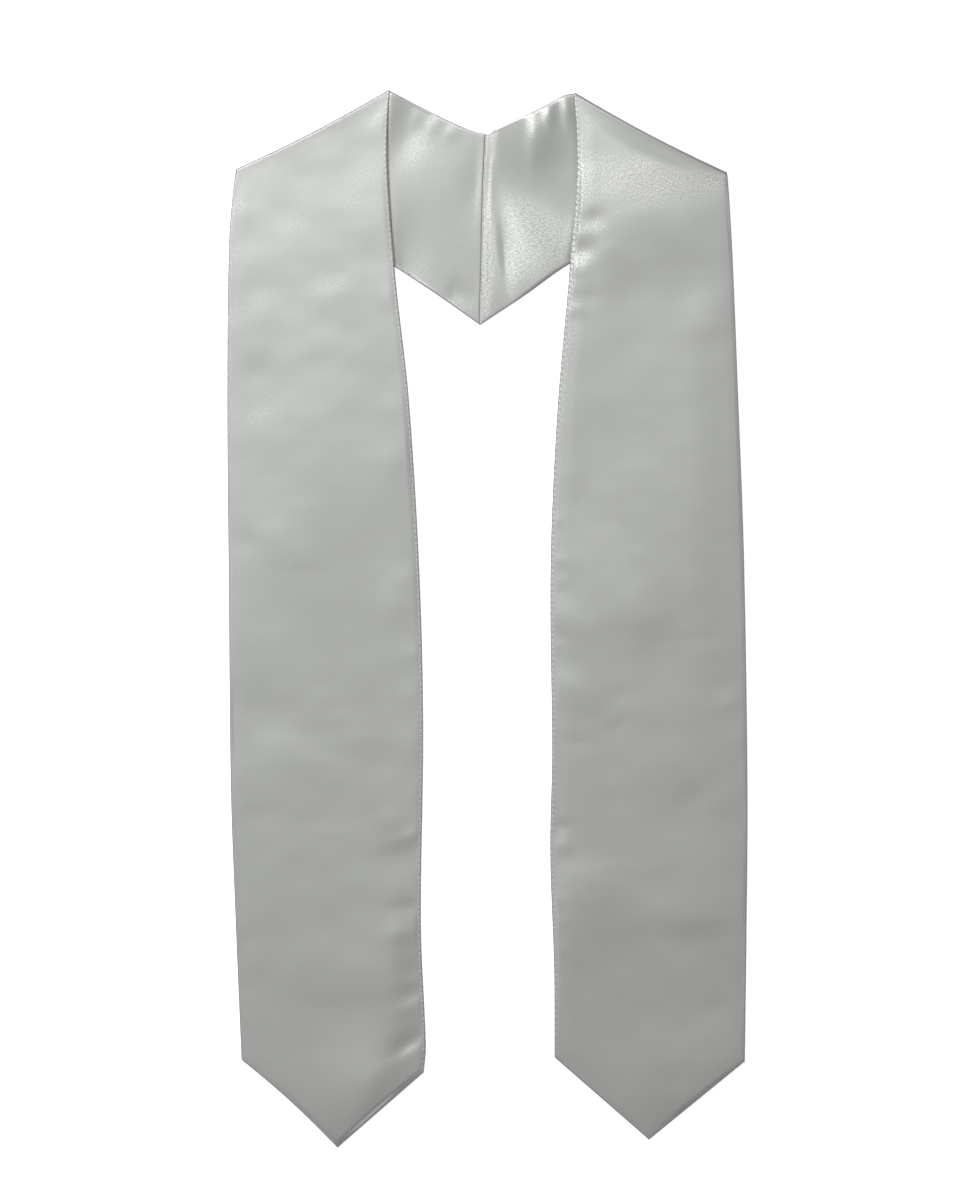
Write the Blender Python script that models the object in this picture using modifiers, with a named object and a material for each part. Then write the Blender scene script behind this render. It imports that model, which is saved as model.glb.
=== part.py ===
"""Graduation stole in silver satin, laid flat with its back folded under at the shoulders.

Two strips, each with a face and a lining, are joined by a seam at the centre back. +Y runs from the
pointed ends to the neck, +Z is up, and the stole lies on z = 0. Sizes below are in millimetres.
"""
import math
from bisect import bisect_right
from collections import namedtuple

import bmesh
import bpy
from mathutils import Vector

MM = 0.001

# Layers
WALL = 1.0
SEAM_GAP = 0.3
FOLD_GAP = 0.6
STACK = 2 * WALL + SEAM_GAP
FRONT_LIFT = STACK + FOLD_GAP

# Mesh density
COLUMNS = 8
BACK_ROWS = 9
FOLD_ROWS = 6
FRONT_ROWS = 36
SEAM_ROW_SHARES = (0.0, 0.035, 0.075, 0.12)

# How the front comes down to the surface past the back's lower edge
STEP_START = 8.0
STEP_RUN = 42.0

# The turn over the shoulder, whose fold line sags a little between its ends
FOLD_TUCK = 26.0
FOLD_SAG = 1.9
BULGE_RUN = 30.0

# The face stands off the lining between its seams
PILLOW = 0.7
EDGE_SHARE = 0.14

# The point at the end of each strip starts this share of the front above it
POINT_SHARE = 0.86

# The seam allowances lie to the right of the centre back, under the lining
ALLOWANCE_WIDTH = 7.0
ALLOWANCE_HEIGHT = 0.7

Point = namedtuple("Point", "x y")
Ridge = namedtuple("Ridge", "x y angle length width height")
Strip = namedtuple(
    "Strip",
    "side neckline lower_edge inner_edge outer_edge tip tip_hollow bulge front_ridges back_ridges",
)

# The centre back seam, from the neck down to the point of the back
SEAM = (Point(-1.3, 364.0), Point(-3.2, 321.0), Point(-4.4, 270.0), Point(-5.6, 220.3))

LEFT = Strip(
    side=-1,
    # From the centre back to the shoulder fold
    neckline=(
        Point(-1.3, 364.0),
        Point(-9.0, 365.2),
        Point(-26.6, 372.6),
        Point(-47.0, 382.6),
        Point(-73.9, 397.1),
    ),
    lower_edge=(Point(-5.6, 220.3), Point(-44.6, 247.5), Point(-110.0, 289.5), Point(-189.4, 337.1)),
    # From the shoulder fold to the point
    inner_edge=(
        Point(-73.9, 397.1),
        Point(-75.2, 344.0),
        Point(-69.4, 260.0),
        Point(-58.9, 164.0),
        Point(-50.8, 29.0),
        Point(-48.2, -84.0),
        Point(-49.9, -230.0),
        Point(-46.2, -322.0),
        Point(-47.8, -340.6),
    ),
    outer_edge=(
        Point(-189.4, 337.1),
        Point(-193.9, 284.0),
        Point(-195.4, 164.0),
        Point(-194.3, 29.0),
        Point(-192.7, -128.0),
        Point(-189.4, -219.0),
        Point(-184.7, -331.0),
    ),
    tip=Point(-112.5, -397.1),
    tip_hollow=2.4,
    bulge=0.8,
    # Broad soft ridges on the face of the front
    front_ridges=(
        Ridge(-150.0, 150.0, 62.0, 90.0, 26.0, 0.9),
        Ridge(-120.0, -10.0, -52.0, 80.0, 24.0, 0.8),
        Ridge(-150.0, -95.0, 20.0, 60.0, 20.0, 0.9),
        Ridge(-118.0, -190.0, 10.0, 70.0, 30.0, 0.8),
        Ridge(-63.0, -330.0, 38.0, 26.0, 11.0, 1.6),
    ),
    back_ridges=(Ridge(-42.0, 345.0, 33.0, 34.0, 15.0, 1.4),),
)

RIGHT = Strip(
    side=1,
    neckline=(
        Point(-1.3, 364.0),
        Point(3.0, 366.0),
        Point(18.0, 372.8),
        Point(42.0, 384.2),
        Point(58.0, 393.2),
        Point(65.6, 395.0),
    ),
    lower_edge=(Point(-5.6, 220.3), Point(28.6, 242.6), Point(60.0, 265.0), Point(180.3, 334.8)),
    inner_edge=(
        Point(65.6, 395.0),
        Point(67.2, 334.0),
        Point(61.5, 261.4),
        Point(52.9, 164.0),
        Point(48.0, 70.0),
        Point(47.1, 5.0),
        Point(48.4, -100.0),
        Point(47.0, -175.0),
        Point(49.9, -263.0),
        Point(50.2, -329.2),
    ),
    outer_edge=(
        Point(180.3, 334.8),
        Point(184.0, 270.0),
        Point(188.3, 164.0),
        Point(192.6, 45.0),
        Point(195.2, -128.0),
        Point(194.4, -240.0),
        Point(193.2, -332.4),
    ),
    tip=Point(121.2, -391.1),
    tip_hollow=0.0,
    bulge=4.2,
    front_ridges=(
        Ridge(115.0, 205.0, 8.0, 80.0, 22.0, 0.9),
        Ridge(92.0, 80.0, 70.0, 90.0, 24.0, 0.9),
        Ridge(70.0, -20.0, -35.0, 60.0, 18.0, 0.9),
        Ridge(72.0, -215.0, -25.0, 50.0, 20.0, 1.1),
        Ridge(150.0, -300.0, 12.0, 60.0, 22.0, 0.8),
    ),
    back_ridges=(Ridge(22.0, 296.0, -58.0, 44.0, 14.0, 1.6), Ridge(33.0, 362.0, 84.0, 16.0, 7.0, 1.0)),
)

SATIN_COLOUR = (0.44, 0.45, 0.435, 1.0)
LINING_COLOUR = (0.42, 0.43, 0.415, 1.0)
SATIN_ROUGHNESS = 0.38

SAMPLES_PER_SPAN = 24


def ease(share):
    """A smooth step from 0 to 1."""
    share = min(1.0, max(0.0, share))
    return share * share * (3 - 2 * share)


class Path:
    """A smooth curve through the points, read by its share of the length."""

    def __init__(self, points):
        self.samples = self.smooth([Vector((p.x, p.y)) for p in points])
        self.reach = [0.0]
        for a, b in zip(self.samples, self.samples[1:]):
            self.reach.append(self.reach[-1] + (b - a).length)
        self.length = self.reach[-1]

    @staticmethod
    def smooth(points):
        ends = [2 * points[0] - points[1], *points, 2 * points[-1] - points[-2]]
        samples = []
        for before, a, b, after in zip(ends, ends[1:], ends[2:], ends[3:]):
            span = (b - a).length
            tangent_a = (b - before) * span / ((a - before).length + span)
            tangent_b = (after - a) * span / ((after - b).length + span)
            for i in range(SAMPLES_PER_SPAN):
                s = i / SAMPLES_PER_SPAN
                samples.append(
                    (2 * s**3 - 3 * s**2 + 1) * a
                    + (s**3 - 2 * s**2 + s) * tangent_a
                    + (3 * s**2 - 2 * s**3) * b
                    + (s**3 - s**2) * tangent_b
                )
        return [*samples, points[-1]]

    def at(self, share):
        reach = share * self.length
        i = min(len(self.samples) - 2, max(0, bisect_right(self.reach, reach) - 1))
        part = (reach - self.reach[i]) / (self.reach[i + 1] - self.reach[i])
        return self.samples[i].lerp(self.samples[i + 1], part)


def ridge_height(ridges, place):
    """Summed height of soft ridges, each a bell across its width and along its length."""
    total = 0.0
    for ridge in ridges:
        turn = math.radians(ridge.angle)
        dx, dy = place.x - ridge.x, place.y - ridge.y
        along = dx * math.cos(turn) + dy * math.sin(turn)
        across = dy * math.cos(turn) - dx * math.sin(turn)
        total += ridge.height * math.exp(-((along / ridge.length) ** 2) - (across / ridge.width) ** 2)
    return total


def between_seams(share):
    """0 at the strip's two long seams and 1 away from them."""
    return ease(min(share, 1 - share) / EDGE_SHARE)


def front_shares():
    """Sections of the front, closer together near the shoulder and the point."""
    shares = []
    for i in range(FRONT_ROWS + 1):
        s = i / FRONT_ROWS
        shares.append(s - 0.085 * math.sin(2 * math.pi * s))
    return shares


def back_shares():
    """Sections of the back, from beside the centre seam to the shoulder."""
    rest = BACK_ROWS - len(SEAM_ROW_SHARES) + 1
    last = SEAM_ROW_SHARES[-1]
    return [*SEAM_ROW_SHARES, *(last + (1 - last) * (i + 1) / rest for i in range(rest))]


class StripShape:
    """Works out where each point of one strip's face and lining lies."""

    def __init__(self, strip):
        self.strip = strip
        self.seam = Path(SEAM)
        self.neckline, self.lower_edge = Path(strip.neckline), Path(strip.lower_edge)
        self.inner_edge, self.outer_edge = Path(strip.inner_edge), Path(strip.outer_edge)
        self.neck, self.shoulder = Vector(strip.neckline[-1]), Vector(strip.lower_edge[-1])
        along = (self.shoulder - self.neck).normalized()
        self.inward = Vector((-along.y, along.x))
        if self.inward.y > 0:
            self.inward.negate()
        self.back_line = (Vector(SEAM[-1]) - self.shoulder).normalized()

    def bulge(self, across):
        return self.strip.bulge * math.sin(math.pi * across) ** 0.7 if 0 < across < 1 else 0.0

    def fold_radius(self, across):
        return (FRONT_LIFT + self.bulge(across)) / 2

    def tuck(self, distance, across):
        """Moves points near the fold inward, so that the fold itself lies on the outline."""
        room = max(0.0, 1 - distance / FOLD_TUCK) ** 2
        sag = FOLD_SAG * math.sin(math.pi * across)
        return self.inward * room * (self.fold_radius(across) + STACK / 2 + sag)

    def back_plan(self, share, across):
        neck_side, lower_side = self.neckline.at(share), self.lower_edge.at(share)
        place = neck_side.lerp(lower_side, across)
        straight_seam = self.neckline.at(0).lerp(self.lower_edge.at(0), across)
        place += (self.seam.at(across) - straight_seam) * (1 - share)
        place.x += self.strip.side * SEAM_GAP / 2 * (1 - ease(share / SEAM_ROW_SHARES[-1]))
        distance = (1 - share) * self.neckline.length
        return place + self.tuck(distance, across)

    def front_plan(self, share, across):
        inner, outer = self.inner_edge.at(share), self.outer_edge.at(share)
        corner_in, corner_out = self.inner_edge.at(1), self.outer_edge.at(1)
        tip = Vector(self.strip.tip)
        tip_share = (tip.x - corner_in.x) / (corner_out.x - corner_in.x)
        middle = 1 - abs(2 * across - 1)
        point = ease((share - POINT_SHARE) / (1 - POINT_SHARE))
        place = inner.lerp(outer, across + (tip_share - 0.5) * middle * point)
        drop = (corner_in.lerp(corner_out, tip_share).y - tip.y) * middle
        if across > 0.5:
            drop -= self.strip.tip_hollow * math.sin(math.pi * middle)
        place.y -= drop * point**1.6
        return place + self.tuck(share * self.inner_edge.length, across)

    def front_lift(self, place, share, across):
        """Height of the front's underside, which lies on the back as far as the back reaches."""
        past_edge = self.strip.side * self.back_line.cross(place - self.shoulder)
        on_back = 1 - ease((past_edge - STEP_START) / STEP_RUN)
        run = share * self.inner_edge.length / BULGE_RUN
        return FRONT_LIFT * on_back + self.bulge(across) * math.exp(-run * run)

    def allowance(self, share, across):
        """The lining's rise over the seam allowances."""
        if self.strip.side < 0:
            return 0.0
        reach = share * self.neckline.length
        return ALLOWANCE_HEIGHT * ease(reach / 2) * (1 - ease((reach - ALLOWANCE_WIDTH + 2) / 3))

    def back_point(self, share, across, facing):
        place = self.back_plan(share, across)
        if facing > 0:
            return Vector((place.x, place.y, 0.0))
        held = between_seams(across) * ease((1 - share) / 0.45) * ease(share / 0.12)
        rise = ridge_height(self.strip.back_ridges, place) * held + self.allowance(share, across)
        return Vector((place.x, place.y, STACK + rise))

    def fold_point(self, share, across, facing):
        radius = self.fold_radius(across)
        turn = math.pi * (share - 0.5)
        reach = radius + facing * STACK / 2
        axis = self.back_plan(1.0, across)
        place = axis - self.inward * reach * math.cos(turn)
        return Vector((place.x, place.y, radius + STACK / 2 + reach * math.sin(turn)))

    def front_point(self, share, across, facing):
        place = self.front_plan(share, across)
        lift = self.front_lift(place, share, across)
        if facing < 0:
            return Vector((place.x, place.y, lift))
        held = between_seams(across) * ease(share / 0.06) * ease((1 - share) / 0.05)
        rise = (PILLOW + ridge_height(self.strip.front_ridges, place)) * held
        return Vector((place.x, place.y, lift + STACK + rise))

    def sections(self, facing):
        """Rows of points from the centre back over the shoulder to the point of the strip."""
        back = [(self.back_point, s) for s in back_shares()]
        fold = [(self.fold_point, (i + 1) / FOLD_ROWS) for i in range(FOLD_ROWS - 1)]
        front = [(self.front_point, s) for s in front_shares()]
        shares = [i / COLUMNS for i in range(COLUMNS + 1)]
        return [[place(s, across, facing) for across in shares] for place, s in back + fold + front]


def satin(name, colour):
    material = bpy.data.materials.new(name)
    material.use_nodes = True
    shader = material.node_tree.nodes["Principled BSDF"]
    shader.inputs["Base Color"].default_value = colour
    shader.inputs["Roughness"].default_value = SATIN_ROUGHNESS
    shader.inputs["Metallic"].default_value = 0.0
    return material


def cloth_layer(name, collection, rows, outward, material):
    """A grid shaped into the layer's outer side, thickened inward to a wall."""
    bm = bmesh.new()
    bmesh.ops.create_grid(bm, x_segments=COLUMNS, y_segments=len(rows) - 1, size=1.0)
    bm.verts.ensure_lookup_table()
    for i, vert in enumerate(bm.verts):
        row, column = divmod(i, COLUMNS + 1)
        vert.co = rows[row][column] * MM
    if not outward:
        bmesh.ops.reverse_faces(bm, faces=bm.faces)
    mesh = bpy.data.meshes.new(name)
    bm.to_mesh(mesh)
    bm.free()
    mesh.shade_smooth()
    mesh.materials.append(material)
    layer = bpy.data.objects.new(name, mesh)
    collection.objects.link(layer)
    wall = layer.modifiers.new("wall", "SOLIDIFY")
    wall.thickness = WALL * MM
    wall.offset = -1.0
    wall.use_even_offset = True
    wall.use_rim = True
    return layer


def build():
    for obj in list(bpy.data.objects):
        bpy.data.objects.remove(obj, do_unlink=True)
    stole = bpy.data.collections.new("graduation_stole")
    bpy.context.scene.collection.children.link(stole)
    face_satin = satin("satin_face", SATIN_COLOUR)
    lining_satin = satin("satin_lining", LINING_COLOUR)
    for name, strip in (("left", LEFT), ("right", RIGHT)):
        shape = StripShape(strip)
        face_out = strip.side < 0
        cloth_layer(f"face_{name}", stole, shape.sections(1), face_out, face_satin)
        cloth_layer(f"lining_{name}", stole, shape.sections(-1), not face_out, lining_satin)


build()
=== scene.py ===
"""Looks of a silver satin graduation stole: cloth, creases, sewing, floor, light and camera.

The stole lies flat on z = 0 with its back folded under at the shoulders. +Y runs from the pointed
ends to the neck. Shapes are worked out in millimetres and made in metres.
"""
import math
from collections import namedtuple

import bpy
import numpy as np
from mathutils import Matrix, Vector


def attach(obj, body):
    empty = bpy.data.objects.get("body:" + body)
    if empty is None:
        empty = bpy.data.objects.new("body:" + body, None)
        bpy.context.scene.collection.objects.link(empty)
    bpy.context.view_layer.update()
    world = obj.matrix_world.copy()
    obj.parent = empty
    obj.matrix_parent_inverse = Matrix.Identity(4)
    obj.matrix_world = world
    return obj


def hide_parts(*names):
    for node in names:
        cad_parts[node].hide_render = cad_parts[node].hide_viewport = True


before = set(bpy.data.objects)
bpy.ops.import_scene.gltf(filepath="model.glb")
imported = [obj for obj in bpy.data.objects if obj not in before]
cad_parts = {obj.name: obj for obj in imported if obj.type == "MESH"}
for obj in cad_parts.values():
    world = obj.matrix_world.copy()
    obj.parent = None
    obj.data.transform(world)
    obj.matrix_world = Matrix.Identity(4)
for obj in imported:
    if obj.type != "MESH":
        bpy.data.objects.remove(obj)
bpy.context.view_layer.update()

MM = 0.001

# Layers, as in the solids: both layers of a strip, the gap between the strips at the centre back, the
# height of a front's underside on the back, and how far past the back it starts to come down
STACK = 2.3
SEAM_GAP = 0.3
FRONT_LIFT = 2.9
STEP_START = 2.0

# The turn over the shoulder: how far from it points are moved inward, its bow, and its depth
FOLD_TUCK = 26.0
FOLD_SAG = 1.9
FOLD_DEPTH = 1.0

# The roll above it: its rounding across, how far it reaches down the front in the middle and at the
# edges, how the foot follows the width, how fast it falls, and how softly it ends
ROLL_ROUNDING = 1.1
ROLL_RUN = 17.0
ROLL_RUN_ENDS = 2.0
ROLL_SKEW = 0.7
ROLL_FALL = 0.87
ROLL_SOFTNESS = 0.04

# A point starts at this share of the front and narrows by this power. Its slanted edges lie this
# share of the distance along the strip away
POINT_SHARE = 0.86
POINT_CURVE = 1.6
POINT_SLANT = 0.76

# A drawn layer, which turns down to its neighbour over the round of each edge
LAYER = 0.6
EDGE_GAP = 0.16
EDGE_ROUND = 1.5

# The sides that lie on the table rise by this share of the ridges above them
UNDERSIDE_SHARE = 0.35

# A front's inner edge stands a little off the back near the neck, and so does the back's corner
EDGE_LIFT_RUN = 14.0
CORNER_RUN = 17.0

# Painted shade lines darken the satin's colour along its edges, the centre back seam and the crest of the
# fold.
# How fast the distance that they follow grows: away from the seam, by the radian over the fold, and down
# the front, where it starts at the third value below
SEAM_SHADE_LINE = 2.0
FOLD_SHADE_LINE = 0.3
FRONT_SHADE_LINE = 0.45
FRONT_SHADE_LINE_RISE = 0.5

# A front's painted shade line along its inner edge is this much narrower where it lies on the back
PALE_SHADE_LINE = 0.7

# Stitches of the inner edges: how far apart, how long and how far inside. They drift along the edge and
# sway across it by this much, and by this many radians more from one to the next
STITCH_PITCH = 4.4
STITCH_LENGTH = 1.8
STITCH_INSET = 1.5
STITCH_DRIFT = 0.3
STITCH_SWAY = 0.12
DRIFT_TURN = 2.4
SWAY_TURN = 1.7

# Each stitch, by the radius of its thread: the girth of its rings, how high its middle lies, and how
# steeply it arches down to its ends. Its rings have this many sides
THREAD_GIRTHS = (0.35, 0.9, 1.0, 0.9, 0.35)
THREAD_TOP = 0.9
THREAD_DIP = 8.0
THREAD_SIDES = 6

# A fade is a start and a run, over which what it is named for grows from nothing to its full height.
# These are for the creases, the lifts and the corner of the back, by the distance from its long edges,
# from the seam, and from the inner edge of the front that covers it
BACK_SIDE_FADE = (0.3, 2.5)
BACK_SEAM_FADE = (1.0, 6.0)
BACK_COVER_FADE = (-1.0, 6.0)
LIFT_SEAM_FADE = (0.0, 12.0)
LIFT_COVER_FADE = (-2.0, 3.0)
CORNER_SIDE_FADE = (-1.0, 4.0)
CORNER_COVER_FADE = (-8.0, 8.0)

# The front's underside by the distance from its edges, and where its painted shade line turns pale by that
# from the back's edge
UNDERSIDE_FADE = (0.0, 6.0)
PALE_FADE = (0.0, 10.0)

# The front's creases, swell and lifted edge, by the share of the front below the shoulder fold
CREASE_FOLD_FADE = (0.0, 0.02)
PILLOW_FOLD_FADE = (0.0, 0.04)
EDGE_FOLD_FADE = (0.0, 0.03)

# The lifted edge and the painted glint in the grain of the satin's colour, by Y
EDGE_LIFT_FADE = (250.0, 110.0)
GLINT_FADE = (60.0, 180.0)

# A front's creases start this far inside its edges, and reach their height over a run that is
# shorter by the cut at the outer edge
CREASE_START = 0.5
CREASE_RUN = 5.0
CREASE_RUN_CUT = 2.0

# Cloth that faces this way in plan, towards the light, gets a painted glint in the grain of its colour.
# Steep cloth is held back by this much, and the last value keeps a divisor above 0
GLINT_X = -0.3
GLINT_Y = 0.95
GLINT_HOLD = 0.2
NEVER_ZERO = 1e-9

# Mesh density: sections, the millimetres between them, how much they crowd at the long edges, and the
# finer ones over the run beside the point and over the share of the back beside the seam
COLUMNS = 80
COLUMN_CROWDING = 0.9
FOLD_ROWS = 12
FRONT_PITCH = 2.2
POINT_RUN = 14.0
POINT_ROWS = 13
SEAM_SHARE = 0.12
SEAM_ROWS = 26
BACK_ROWS = 62
SAMPLES_PER_SPAN = 24

# Where the front starts on the cloth's map, past the start of the fold
FRONT_MAP_START = 10.0

# Range of a noise's values that a material spreads out, and the scale that turns metres into millimetres
NOISE_SPAN = (0.3, 0.7)
PER_MM = (1000.0, 1000.0, 1000.0)

Point = namedtuple("Point", "x y")
Crease = namedtuple("Crease", "x y turn reach upper lower height")
Wave = namedtuple("Wave", "turn length depth start")
Allowance = namedtuple("Allowance", "middle before after height low high")
Pillow = namedtuple("Pillow", "inner outer inner_run outer_run")

# One half of the stole, side -1 on the left and 1 on the right. tip_hollow bows the outer edge of the
# point inward, roll is how high the shoulder fold stands, lift how far the inner edge stands off near
# the neck, step_run how slowly the front comes down off the back, pillow how it swells inside its
# edges, and thread the radius of its sewing thread
Strip = namedtuple(
    "Strip",
    "side neckline lower_edge inner_edge outer_edge tip tip_hollow roll lift step_run pillow thread "
    "front_creases back_creases back_lifts",
)

# The centre back seam, from the neck down to the point of the back
SEAM = (Point(-1.3, 364.0), Point(-3.2, 321.0), Point(-4.4, 270.0), Point(-5.6, 220.3))

# Soft ridges, and troughs with a negative height. The crest runs reach both ways along turn, in
# degrees from +X, and falls off over upper to the left of that direction and over lower to its right
LEFT_FRONT_CREASES = (
    # From the shoulder down to the back's lower edge
    Crease(-80.0, 372.0, 60.0, 16.0, 5.0, 10.0, 0.14),
    Crease(-94.0, 350.0, -10.0, 16.0, 14.0, 22.0, -0.56),
    Crease(-141.0, 333.0, 0.0, 14.0, 11.0, 18.0, -0.35),
    Crease(-177.0, 323.0, 0.0, 10.0, 9.0, 14.0, -0.05),
    Crease(-94.0, 300.0, 0.0, 24.0, 18.0, 28.0, 0.65),
    Crease(-153.0, 304.0, 0.0, 15.0, 8.0, 14.0, -0.28),
    Crease(-186.0, 303.0, -10.0, 9.0, 12.2, 13.5, 0.22),
    Crease(-181.0, 288.0, 0.0, 10.0, 10.8, 13.5, -0.17),
    Crease(-185.0, 263.0, 0.0, 12.0, 14.9, 21.6, 0.28),
    Crease(-151.0, 278.0, 0.0, 16.0, 18.9, 24.3, 0.22),
    Crease(-106.0, 279.0, 10.0, 11.0, 12.2, 16.2, -0.28),
    Crease(-123.0, 261.0, 5.0, 13.0, 14.9, 16.2, -0.34),
    Crease(-84.0, 271.0, 70.0, 14.0, 10.8, 10.8, -0.22),
    Crease(-109.0, 259.5, 0.0, 7.0, 3.0, 4.0, -0.1),
    Crease(-111.0, 244.0, 0.0, 19.0, 9.5, 16.2, 0.22),
    Crease(-75.0, 238.0, 0.0, 8.0, 8.0, 10.0, 0.35),
    # Crossing streaks below it
    Crease(-132.0, 96.0, 0.0, 50.0, 120.0, 110.0, 3.2),
    Crease(-116.0, 220.0, -20.0, 20.0, 8.1, 16.2, -0.28),
    Crease(-172.0, 224.0, -15.0, 14.0, 16.0, 20.0, 0.6),
    Crease(-173.0, 203.0, -25.0, 11.0, 12.2, 16.2, 0.28),
    Crease(-176.0, 184.0, -42.0, 14.0, 9.5, 13.5, -0.45),
    Crease(-127.0, 190.0, 17.0, 24.0, 12.2, 21.6, -0.45),
    Crease(-78.0, 181.0, 0.0, 18.0, 9.5, 16.2, -0.28),
    Crease(-166.0, 145.0, -40.0, 12.0, 12.2, 18.9, 0.34),
    Crease(-69.0, 158.0, 0.0, 9.0, 9.0, 12.0, 0.24),
    Crease(-160.0, 133.0, -20.0, 15.0, 12.0, 20.0, 0.35),
    Crease(-70.0, 119.0, 0.0, 10.0, 10.0, 14.0, 0.35),
    # The middle of the front
    Crease(-74.0, 100.0, -10.0, 26.0, 50.0, 24.0, 1.05),
    Crease(-136.0, 81.0, 0.0, 16.0, 12.0, 16.0, 0.24),
    Crease(-158.0, 58.0, -37.0, 26.0, 14.0, 20.0, 0.91),
    Crease(-181.0, 57.0, -41.0, 14.0, 8.0, 12.0, -0.56),
    Crease(-140.0, 35.0, 0.0, 16.0, 5.0, 10.0, -0.28),
    Crease(-62.0, 30.0, 0.0, 8.0, 8.0, 9.0, 0.35),
    Crease(-68.0, 13.0, 0.0, 16.0, 40.0, 16.0, 0.91),
    Crease(-115.0, -10.0, 0.0, 14.0, 10.0, 14.0, 0.21),
    Crease(-57.0, -27.0, 0.0, 9.0, 7.0, 6.0, 0.35),
    Crease(-57.0, -58.0, 5.0, 10.0, 9.0, 9.0, 0.42),
    Crease(-57.0, -95.0, 0.0, 11.0, 11.0, 11.0, 0.49),
    Crease(-57.0, -130.0, 0.0, 10.0, 10.0, 12.0, 0.35),
    Crease(-185.0, -33.0, 0.0, 10.0, 8.0, 12.0, -0.21),
    Crease(-168.0, -72.0, -6.0, 27.0, 21.0, 26.0, -1.5),
    Crease(-150.0, -98.0, -24.0, 26.0, 18.0, 26.0, 0.6),
    Crease(-124.0, -110.0, -8.0, 22.0, 8.0, 16.0, 0.49),
    Crease(-122.0, -58.0, -25.0, 9.0, 6.0, 10.0, 0.28),
    Crease(-110.0, -75.0, -25.0, 9.0, 6.0, 10.0, 0.28),
    Crease(-97.0, -91.0, -25.0, 9.0, 6.0, 10.0, 0.28),
    Crease(-129.0, -86.0, 0.0, 18.0, 9.0, 9.0, -0.35),
    Crease(-80.0, -106.0, 0.0, 13.0, 10.0, 14.0, -0.42),
    # Towards the point
    Crease(-174.0, -147.0, 8.0, 19.0, 7.0, 12.0, -0.35),
    Crease(-116.0, -163.0, 0.0, 19.0, 8.0, 16.0, 0.35),
    Crease(-72.0, -150.0, 10.0, 10.0, 7.0, 9.0, 0.35),
    Crease(-58.0, -163.0, 18.0, 10.0, 5.0, 6.0, 0.63),
    Crease(-66.0, -178.0, 14.0, 17.0, 9.0, 20.0, -1.3),
    Crease(-177.0, -180.0, 0.0, 12.0, 8.0, 14.0, -0.21),
    Crease(-60.0, -216.0, 5.0, 14.0, 5.0, 7.0, -0.77),
    Crease(-64.0, -236.0, 8.0, 14.0, 8.0, 7.0, 0.91),
    Crease(-108.0, -262.0, 0.0, 40.0, 16.0, 18.0, 0.56),
    Crease(-56.0, -264.0, 10.0, 10.0, 7.0, 6.0, -0.63),
    Crease(-57.0, -281.0, 15.0, 12.0, 7.0, 5.0, -0.91),
    Crease(-111.0, -292.0, 0.0, 36.0, 9.0, 14.0, -0.35),
    Crease(-60.0, -293.0, 20.0, 10.0, 4.0, 6.0, 0.49),
    Crease(-60.0, -319.5, 34.0, 17.0, 8.0, 5.0, -1.68),
    Crease(-180.0, -243.0, 0.0, 10.0, 8.0, 12.0, -0.21),
    Crease(-173.0, -273.0, 0.0, 10.0, 8.0, 12.0, -0.21),
    Crease(-125.0, -323.0, 0.0, 16.0, 9.0, 12.0, -0.21),
    Crease(-95.0, -357.0, 67.0, 40.0, 36.0, 19.0, 4.8),
    Crease(-70.0, -352.0, 41.0, 30.0, 26.0, 16.0, 1.12),
    Crease(-74.0, -266.0, 88.0, 70.0, 36.0, 15.0, 2.8),
    Crease(-79.0, -337.0, 40.0, 14.0, 5.0, 12.0, 0.35),
)
LEFT_BACK_CREASES = (
    # Gathers at the neckline
    Crease(-53.0, 377.0, 75.0, 8.0, 3.5, 4.5, 0.35),
    Crease(-40.0, 371.0, 75.0, 8.0, 4.0, 6.0, 0.35),
    Crease(-27.0, 365.0, 60.0, 6.0, 4.0, 6.0, 0.3),
    # The hollow beside the front's edge, and the swell across the panel
    Crease(-58.0, 366.0, 75.0, 22.0, 12.0, 12.0, -1.0),
    Crease(-43.0, 321.0, 36.0, 42.0, 30.0, 26.0, 0.5),
    Crease(-6.0, 328.0, 80.0, 26.0, 12.0, 6.0, -0.7),
    Crease(-61.0, 270.0, 88.0, 33.0, 9.0, 14.0, -1.25),
    Crease(-26.0, 245.0, 72.0, 9.0, 3.5, 18.0, -0.5),
)
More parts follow.
